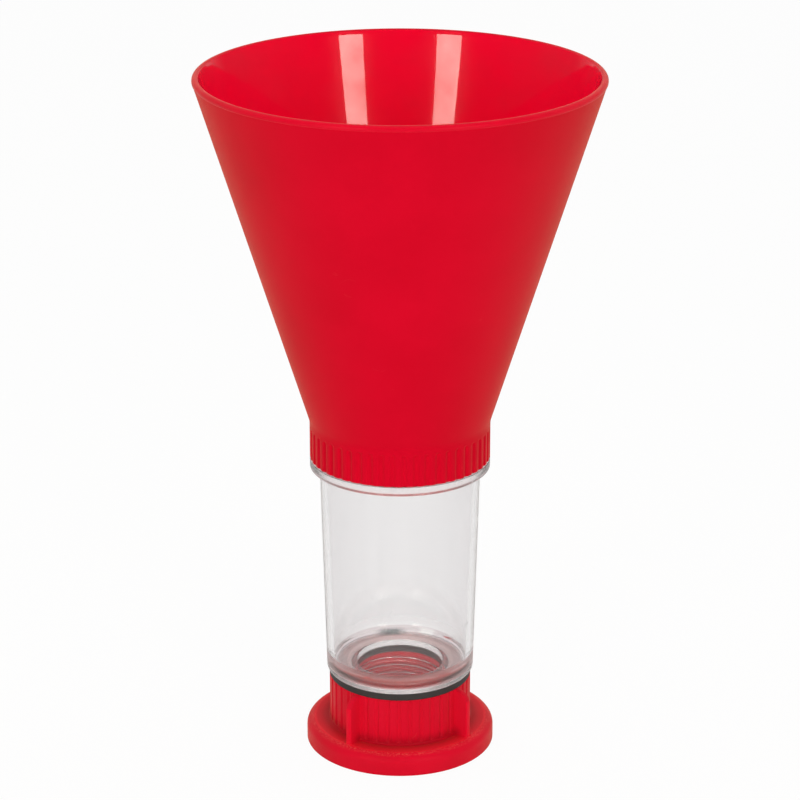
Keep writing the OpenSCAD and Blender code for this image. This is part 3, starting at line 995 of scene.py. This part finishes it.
def barrelLine(offset):
    # the disc's top, the root fillet and the barrel's wall beside a fin, with as many points as its line
    top = footTop - foot["finDrop"]
    disc, root = foot["discHeight"], foot["barrelRoot"]
    edge = discRadius - foot["discEdge"]
    gap, sink = foot["finGap"]
    grooveLow = disc + root + foot["grooveCutter"]
    start = barrelRadius + foot["finReach"] + foot["finFoot"] + gap
    points = [(start, disc - sink)]
    points += [(edge - away, disc + offset) for away in foot["discRows"]]
    points.append((barrelRadius + root + foot["rootLead"], disc + offset))
    fillet = arcPath((barrelRadius + root, disc + root), root - offset, 270, 180, foot["rootSteps"], 0)
    points += pointsOf(fillet)
    points += [(barrelRadius + offset, grooveLow - away) for away in foot["grooveRows"]]
    for share in foot["barrelRows"]:
        points.append((barrelRadius + offset, grooveLow + (top - grooveLow) * share))
    outward, downward = foot["topShift"]
    return points + [(barrelRadius + offset * outward, top - offset * downward)]


def finColumns():
    # (side distance, is it on the fin, shift of its line) across a fin, from one side to the other
    half, edge = foot["finThickness"] / 2, foot["finEdge"]
    inset, share = foot["finEdgeRow"]
    sides = [(half + away, False, swell) for away, swell in foot["finFillet"]]
    sides += [(half, True, edge), (half - inset, True, edge * share), (half - edge, True, 0)]
    return [(-side, on, shift) for side, on, shift in sides] + [(0, True, 0)] + sides[::-1]


def footColumns():
    # (angle, fin, web): fin is a fin's column with the fin's middle, web says if it is on a web
    columns = []
    for index in range(foot["finCount"]):
        middle = 2 * math.pi * index / foot["finCount"]
        for order, (side, on, shift) in enumerate(finColumns()):
            angle = middle + math.asin(side / barrelRadius)
            columns.append((angle, order, (side, on, shift, middle), None))
    perFin = foot["grooves"] // foot["finCount"]
    for index in range(foot["grooves"]):
        middle = 2 * math.pi * index / foot["grooves"]
        if index % perFin:  # no groove where a fin stands
            for offset in foot["grooveColumns"]:
                columns.append((middle + offset / barrelRadius, 0, None, None))
        if index % perFin and (index + 1) % perFin:
            columns.append((middle + math.pi / foot["grooves"], 0, None, None))
    away = foot["wall"] / 2 / foot["webRadius"]
    for index in range(foot["webCount"]):
        middle = 2 * math.pi * (index + 0.5) / foot["webCount"]
        for order, (side, on) in enumerate(((-1, False), (-1, True), (1, True), (1, False))):
            columns.append((middle + side * away, order, None, on))
    columns = [(angle % (2 * math.pi), order, fin, web) for angle, order, fin, web in columns]
    columns.sort(key=lambda column: (round(column[0], foot["angleDigits"]), column[1]))
    return [(angle, fin, web) for angle, order, fin, web in columns]


def besideSpoke(angle, middle, radius, trueRadius, widen):
    # near a fin or a web the columns run parallel to it, and farther away they turn into spokes
    start, end = [math.radians(value) for value in widen]
    away = (angle - middle + math.pi) % (2 * math.pi) - math.pi
    share = smooth((abs(away) - start) / (end - start))
    parallel = math.asin(max(-1, min(1, away * trueRadius / radius)))
    return middle + parallel * (1 - share) + away * share


footRed = 0  # the foot's one finish
moatFloor = neckSealTop + foot["wall"]


def footThreads():
    # the cup screws into the upper one, and a filler neck into the lower one
    above, below = foot["threadRunOut"]
    upper = insideThread(lowerThread, foot["boreRadius"], moatFloor + above, footTop - below)
    above, below = foot["socketRunOut"]
    lower = insideThread(neckThread, foot["socketRadius"], footLow + above, neckSealLow - below)
    return upper, lower


def footUnderside(lower):
    # three paths: the socket's mouth, the hollow between the webs, and the disc's edge
    disc, wall, base = foot["discHeight"], foot["wall"], foot["baseEdge"]
    chamfer = foot["socketChamfer"]
    wideLip, lip = foot["webLips"]
    hollowIn, hollowOut, hollowTop = barrelRadius + foot["barrelRoot"], discRadius - wall, disc - wall
    mouth = cornerPath([
        (lower["root"], lower["low"], 0, footRed),
        (lower["root"], footLow + chamfer, foot["socketRound"], footRed),
        (lower["root"] + chamfer, footLow, foot["socketRound"], footRed),
        (hollowIn - wideLip, footLow, 0, footRed)])
    hollow = cornerPath([
        (hollowIn - lip, footLow, 0, footRed),
        (hollowIn, footLow, foot["hollowEdge"], footRed),
        (hollowIn, hollowTop, foot["hollowFillet"], footRed),
        (hollowOut, hollowTop, foot["hollowFillet"], footRed),
        (hollowOut, footLow, foot["hollowEdge"], footRed),
        (hollowOut + lip, footLow, 0, footRed)])
    edge = foot["discEdge"]
    lowSteps, wallSteps, highSteps = foot["sideSteps"]
    endAngle = math.degrees(math.acos((barrelLine(0)[0][0] - (discRadius - edge)) / edge))
    side = [(discRadius - base - foot["baseRow"], footLow, footRed)]
    side += arcPath((discRadius - base, footLow + base), base, -90, 0, lowSteps, footRed)
    side += linePath(side[-1], (discRadius, disc - edge), wallSteps, footRed)
    side += arcPath((discRadius - edge, disc - edge), edge, 0, endAngle, highSteps, footRed)[:-1]
    return mouth, hollow, side


def footTopside(upper):
    # over the barrel's wall, down into the moat, up over the tube and into its bore
    bevelAcross, bevelDown = foot["boreBevel"]
    roundOut, roundIn = foot["bevelRounds"]
    return cornerPath([
        (barrelRadius, footTop - foot["finDrop"] - foot["wallStart"], 0, footRed),  # left out of the path
        (barrelRadius, footTop, foot["finDrop"] - foot["topHold"], footRed),
        (foot["barrelInner"], footTop, foot["moatEdge"], footRed),
        (foot["barrelInner"], moatFloor, foot["moatFillet"], footRed),
        (foot["tubeOuter"], moatFloor, foot["moatFillet"], footRed),
        (foot["tubeOuter"], footTop, foot["moatEdge"], footRed),
        (upper["root"] + bevelAcross, footTop, roundOut, footRed),
        (upper["root"], footTop - bevelDown, roundIn, footRed),
        (upper["root"], upper["high"], 0, footRed)])[2:]


def footBore(upper, lower):
    # from the cup's thread through the outlet and the seal's groove to the filler neck's thread
    undercut = foot["socketRadius"] + foot["sealUndercut"]
    return cornerPath([
        (upper["root"], upper["low"], 0, footRed),
        (upper["root"], moatFloor, foot["moatFillet"], footRed),
        (foot["outletRadius"], moatFloor, foot["outletEdge"], footRed),
        (foot["outletRadius"], neckSealTop, foot["outletEdge"], footRed),
        (undercut, neckSealTop, foot["sealFillet"], footRed),
        (undercut, neckSealLow, foot["sealFillet"], footRed),
        (lower["root"], neckSealLow, foot["sealFillet"], footRed),
        (lower["root"], lower["high"], 0, footRed)])


def makeFoot():
    upper, lower = footThreads()
    mouth, hollow, discSide = footUnderside(lower)
    outer = [(radius, height, footRed) for radius, height in barrelLine(0)]
    hollowFrom = len(mouth)
    hollowTo = hollowFrom + len(hollow)
    outerFrom = hollowTo + len(discSide)
    outerTo = outerFrom + len(outer)
    groove = {"count": foot["grooves"], "radius": barrelRadius, "cutter": foot["grooveCutter"],
              "depth": foot["grooveDepth"],
              "low": foot["discHeight"] + foot["barrelRoot"] + foot["grooveCutter"],
              "high": footTop + foot["grooveRunOut"]}
    webStep, finStep = 2 * math.pi / foot["webCount"], 2 * math.pi / foot["finCount"]

    def placeHollow(column, radius, height):
        # the hollow's columns on a web stay down at the base
        angle, fin, web = column
        middle = (math.floor(angle / webStep) + 0.5) * webStep
        onWeb = abs(angle - middle) * foot["webRadius"] < foot["wall"] / 2 if web is None else web
        turned = besideSpoke(angle, middle, radius, foot["webRadius"], foot["webWiden"])
        return polar(turned, radius, footLow if onWeb else height)

    def placeOuter(column, row, radius, height):
        # a fin's columns follow its own line, and the others are spokes with the grooves cut in
        angle, fin, web = column
        if fin:
            side, onFin, shift, middle = fin
            radius, height = finLine(shift)[row] if onFin else barrelLine(shift)[row]
            across = radius if onFin else math.sqrt(radius ** 2 - side ** 2)
            return polar(middle + math.atan2(side, across), math.hypot(side, across), height)
        if radius <= barrelRadius + foot["sameRadius"]:
            return polar(angle, radius - grooveDepth(groove, angle, height), height)
        middle = round(angle / finStep) * finStep
        return polar(besideSpoke(angle, middle, radius, barrelRadius, foot["finWiden"]), radius, height)

    def place(index, radius, height, column):
        if hollowFrom <= index < hollowTo:
            return placeHollow(column, radius, height)
        if outerFrom <= index < outerTo:
            return placeOuter(column, index - outerFrom, radius, height)
        angle, fin, web = column
        if index >= outerTo and radius > barrelRadius - 1 and not fin:
            radius -= grooveDepth(groove, angle, height)
        return polar(angle, radius, height)

    columns = footColumns()
    angles = [angle for angle, fin, web in columns]
    mesh = bmesh.new()
    turnPath(mesh, mouth + hollow + discSide + outer + footTopside(upper), columns, place)
    turnPath(mesh, footBore(upper, lower), angles)
    turnThread(mesh, upper, angles, footRed)
    turnThread(mesh, lower, angles, footRed)
    finishMesh("footMoulding", mesh, "foot", "foot", [footOutside])


# gasket and seals, in millimetres

rings = {
    "columns": 240,
    "air": 0.03,  # a film of air over the rubber, as on dry parts
    "gasketEdge": 0.3,
    "gasketPlay": 0.2,
    "sealEdge": 0.35,
    "redLightFrom": 22.5,  # under the clear cup the gasket's face carries painted red light from the foot, paler near its hole
    "redLightTo": 27,
}


def makeRing(name, node, body, materials, low, high, inner, outer, edge, redLightZones=()):
    # the last argument is a list of corners on the top face, where the painted red light starts
    path = cornerPath([
        (inner, (low + high) / 2, 0, 0),
        (inner, low, edge, 0),
        (outer, low, edge, 0),
        (outer, high, edge, 0),
        *redLightZones,
        (inner, high, edge, 0),
        (inner, (low + high) / 2, 0, 0)])
    mesh = bmesh.new()
    turnPath(mesh, path, evenColumns(rings["columns"]))
    finishMesh(name, mesh, node, body, materials)


def makeRings():
    top = gasketTop - rings["air"]
    redLightZones = [(rings["redLightTo"], top, 0, 1), (rings["redLightFrom"], top, 0, 2)]
    hole = cup["drainNeckRadius"] + rings["gasketPlay"]
    makeRing("flatGasket", "lower_gasket", "gasket",
             [gasketBlack, gasketRedLight, gasketPinkLight],
             gasketLow, top, hole, barrelRadius, rings["gasketEdge"], redLightZones)
    makeRing("collarSeal", "upper_seal", "cup_seal", [sealBlack],
             upperSealLow + rings["air"], upperSealTop, cone["throatRadius"], upperSealRadius,
             rings["sealEdge"])
    makeRing("neckSeal", "neck_seal", "foot", [sealBlack],
             neckSealLow, neckSealTop, foot["outletRadius"], neckSealRadius, rings["sealEdge"])


makeCone()
makeCup()
makeFoot()
makeRings()


# studio: camera, floor, world and lamps, turned so that the camera sees a fin on each side

view = {
    "azimuth": 36.9,  # degrees, 0 looks along +Y
    "distance": 1.0176,  # metres from the funnel's axis, level
    "height": 0.5113,
    "pitch": 20.06,  # degrees below the horizon
    "lens": 129.27,
    "sensor": 36,
    "nearest": 0.01,
}


def roundAxis(azimuth, distance, height):
    # a place round the funnel, with the azimuth measured from the camera's
    turned = math.radians(view["azimuth"] + azimuth)
    return Vector((distance * math.sin(turned), -distance * math.cos(turned), height))


def makeCamera():
    data = bpy.data.cameras.new("studioCamera")
    data.lens = view["lens"]
    data.sensor_width = view["sensor"]
    data.clip_start = view["nearest"]
    camera = bpy.data.objects.new("studioCamera", data)
    camera.location = roundAxis(0, view["distance"], view["height"])
    camera.rotation_euler = (math.radians(90 - view["pitch"]), 0, math.radians(view["azimuth"]))
    bpy.context.scene.collection.objects.link(camera)
    bpy.context.scene.camera = camera


white = (1, 1, 1, 1)
studio = {
    "floorSize": 6,
    "floorDrop": 0.0001,  # under the foot
    "floorColour": (0.85, 0.85, 0.85, 1),
    "floorRoughness": 0.8,
    "floorGloss": 0.1,
    "floorShown": 0.95,  # share of the floor that is plain white to the camera
    "roomFrom": -0.45,
    "roomTo": 0.25,
    "roomDim": 0.05,
    "roomBright": 0.95,
    "mirrorShift": 1,  # mirrors see the dim part of the room reach further back
    "innerMirror": 0.9,
    "lampColour": (1, 0.96, 0.86),
    "lampAim": 0.2,  # height on the funnel's axis
    "stripAzimuth": 31,
    "stripDistance": 2,
    "stripWidth": 0.52,
    "stripHeight": 1.2,
    "stripMiddle": 0.66,
    "stripPower": 13.8,
    "fillDistance": 0.4,
    "fillHeight": 1.35,
    "fillSize": 0.5,
    "fillPower": 4.5,
    "bounces": 24,
    "clearBounces": 20,
}


def seenRays(tree, place):
    # 1 for rays from the camera, also through clear plastic, and less for its inner reflections
    x, y = place
    path = addNode(tree, "ShaderNodeLightPath", place)
    mirrored = path.outputs["Is Glossy Ray"]
    seen = maths(tree, "ADD", (x + 200, y), path.outputs["Is Camera Ray"],
                 path.outputs["Is Transmission Ray"])
    passed = maths(tree, "GREATER_THAN", (x + 200, y - 150), path.outputs["Transmission Depth"], 0.5)
    passed = maths(tree, "MULTIPLY", (x + 350, y - 150), passed, mirrored)
    seen = maths(tree, "MULTIPLY_ADD", (x + 500, y), passed, studio["innerMirror"], seen)
    return maths(tree, "MINIMUM", (x + 650, y), seen, 1), mirrored


def makeFloor():
    half = studio["floorSize"] / 2
    corners = [(-half, -half, 0), (half, -half, 0), (half, half, 0), (-half, half, 0)]
    data = bpy.data.meshes.new("studioFloor")
    data.from_pydata(corners, [], [(0, 1, 2, 3)])
    floor = bpy.data.objects.new("studioFloor", data)
    floor.location.z = footLow * mm - studio["floorDrop"]
    bpy.context.scene.collection.objects.link(floor)
    material, tree, shader = newMaterial("studioFloorWhite")
    feed(tree, shader, {
        "Base Color": studio["floorColour"], "Roughness": studio["floorRoughness"],
        "Specular IOR Level": studio["floorGloss"]})
    plain = addNode(tree, "ShaderNodeEmission", (500, -400), {"Color": white, "Strength": 1})
    seen, mirrored = seenRays(tree, (-200, 300))
    mixIntoOutput(tree, maths(tree, "MULTIPLY", (500, 300), seen, studio["floorShown"]), shader, plain)
    data.materials.append(material)


def makeWorld():
    world = bpy.data.worlds.new("studioWorld")
    bpy.context.scene.world = world
    world.use_nodes = True
    tree = world.node_tree
    tree.nodes.clear()
    addNode(tree, "ShaderNodeOutputWorld", (1000, 0))
    # the room is bright behind the funnel and dim in front of it
    coordinates = addNode(tree, "ShaderNodeTexCoord", (-800, 300))
    facing = addNode(tree, "ShaderNodeVectorMath", (-600, 300), {
        0: coordinates.outputs["Generated"], 1: roundAxis(180, 1, 0)}, operation="DOT_PRODUCT")
    seen, mirrored = seenRays(tree, (-900, -100))
    shifted = maths(tree, "MULTIPLY_ADD", (-400, 300), mirrored, -studio["mirrorShift"],
                    facing.outputs["Value"])
    spread = addNode(tree, "ShaderNodeMapRange", (-300, 300), {
        "Value": shifted, "From Min": studio["roomFrom"], "From Max": studio["roomTo"],
        "To Min": studio["roomDim"], "To Max": studio["roomBright"]})
    room = addNode(tree, "ShaderNodeBackground", (200, 100), {
        "Color": white, "Strength": spread.outputs[0]})
    shown = addNode(tree, "ShaderNodeBackground", (200, -100), {"Color": white, "Strength": 1})
    mixIntoOutput(tree, seen, room, shown)


def addLamp(name, azimuth, distance, height, width, tall, power):
    data = bpy.data.lights.new(name, "AREA")
    data.shape = "RECTANGLE"
    data.size, data.size_y = width, tall
    data.energy = power
    data.color = studio["lampColour"]
    lamp = bpy.data.objects.new(name, data)
    lamp.location = roundAxis(azimuth, distance, height)
    aim = Vector((0, 0, studio["lampAim"])) - lamp.location
    lamp.rotation_euler = aim.to_track_quat("-Z", "Y").to_euler()
    bpy.context.scene.collection.objects.link(lamp)
    return lamp


def makeLamps():
    for name, side in (("stripLampLeft", -1), ("stripLampRight", 1)):
        addLamp(name, side * studio["stripAzimuth"], studio["stripDistance"], studio["stripMiddle"],
                studio["stripWidth"], studio["stripHeight"], studio["stripPower"])
    fill = addLamp("fillLamp", 0, studio["fillDistance"], studio["fillHeight"],
                   studio["fillSize"], studio["fillSize"], studio["fillPower"])
    fill.visible_glossy = False  # it lights the inside of the cone without showing in its gloss


makeCamera()
makeFloor()
makeWorld()
makeLamps()
scene = bpy.context.scene
scene.view_settings.view_transform = "Standard"
scene.cycles.max_bounces = studio["bounces"]
scene.cycles.transmission_bounces = studio["clearBounces"]
print("studio ready")
